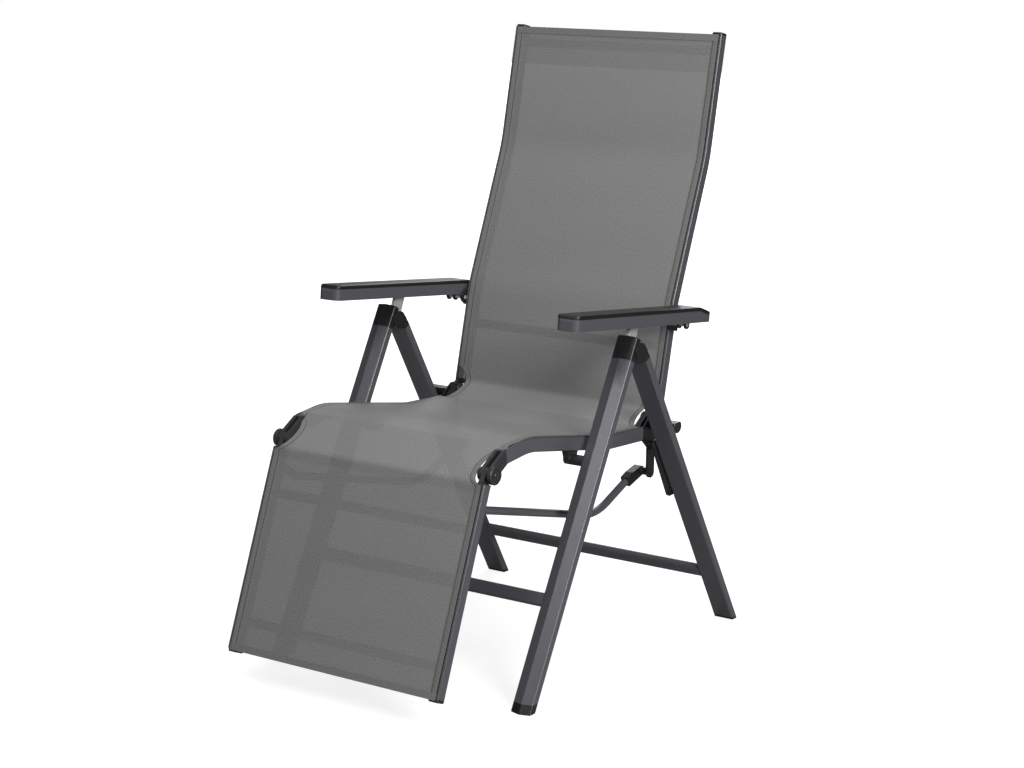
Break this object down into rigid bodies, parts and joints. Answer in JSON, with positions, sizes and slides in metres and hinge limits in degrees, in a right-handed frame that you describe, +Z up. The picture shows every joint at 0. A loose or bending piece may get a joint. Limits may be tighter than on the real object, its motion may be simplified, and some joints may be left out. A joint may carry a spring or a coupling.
{
  "type": "reclining garden armchair with footrest",
  "caption": "Reclining garden armchair with crossed legs, a sling seat and back, padded armrests on notched brackets and a footrest that lifts as the back goes down.",
  "frame": {"origin": "on the floor under the middle of the chair's box, in the upright position", "axes": "+X to the sitter's left, +Y to the back, +Z up; the chair faces -Y"},
  "size_m": [0.581, 0.8729, 1.1004],
  "materials": {
    "frame": "satin powder coat",
    "black_plastic": "matt",
    "armrest_pads": "fine grained",
    "cloth": "woven mesh, lightly open",
    "black_steel": "satin",
    "steel": "zinc plated"
  },
  "bodies": {
    "frame": {"front_leg_left": "frame", "front_leg_right": "frame", "front_feet": "black_plastic", "front_crossbar": "frame", "front_leg_caps": "black_plastic", "hub_bolts": "black_plastic", "notch_brackets": "steel", "notch_pins": "steel", "seat_pivot_bolts": "steel", "rear_leg_left": "frame", "rear_leg_right": "frame", "rear_feet": "black_plastic", "rear_crossbar": "frame", "rear_leg_caps": "black_plastic", "link_bosses": "black_plastic", "seat_rail_left": "frame", "seat_rail_right": "frame", "seat_pivot_brackets": "black_plastic", "seat_front_forks": "black_plastic", "seat_rear_forks": "black_plastic", "leg_stops": "black_plastic", "seat_cloth": "cloth", "side_links": "black_steel", "link_rivets_seat": "black_steel", "link_rivets_leg": "black_steel", "rear_hinge_pins": "black_plastic", "front_hinge_bolts": "black_plastic"},
    "backrest": {"back_rail_left": "frame", "back_rail_right": "frame", "back_caps": "black_plastic", "back_crossbar_lower": "frame", "back_crossbar_upper": "frame", "back_levers": "black_steel", "back_plugs": "black_plastic", "armrest_brackets": "black_plastic", "armrest_pins": "steel", "strut_rivets": "black_steel", "back_cloth": "cloth"},
    "armrests": {"armrest_channel_left": "frame", "armrest_channel_right": "frame", "armrest_pad_left": "armrest_pads", "armrest_pad_right": "armrest_pads", "notch_racks": "black_plastic", "armrest_lugs": "black_plastic"},
    "struts": {"strut_left": "frame", "strut_right": "frame", "strut_fittings": "black_plastic", "strut_front_rivets": "steel"},
    "footrest": {"foot_rail_left": "frame", "foot_rail_right": "frame", "foot_knuckles": "black_plastic", "foot_caps": "black_plastic", "foot_crossbar_upper": "frame", "foot_crossbar_lower": "frame", "strut_spacers": "black_plastic", "foot_cloth": "cloth"}
  },
  "joints": [
    {"name": "recline", "type": "hinge", "parent": "frame", "child": "backrest", "pos_m": [0, 0.2045, 0.418], "axis": [-1, 0, 0], "range_deg": [0, 25]},
    {"name": "armrest_tilt", "type": "hinge", "parent": "backrest", "child": "armrests", "pos_m": [0, 0.2495, 0.5885], "axis": [-1, 0, 0], "range_deg": [-18.01, 0]},
    {"name": "strut_swing", "type": "hinge", "parent": "backrest", "child": "struts", "pos_m": [0, 0.2025, 0.319], "axis": [-1, 0, 0], "range_deg": [-21.01, 0]},
    {"name": "footrest_lift", "type": "hinge", "parent": "frame", "child": "footrest", "pos_m": [0, -0.285, 0.412], "axis": [-1, 0, 0], "range_deg": [0, 58.01]}
  ],
  "couplings": [
    {"joint": "armrest_tilt", "follows": "recline", "ratio": -0.72},
    {"joint": "strut_swing", "follows": "recline", "ratio": -0.84},
    {"joint": "footrest_lift", "follows": "recline", "ratio": 2.32}
  ]
}
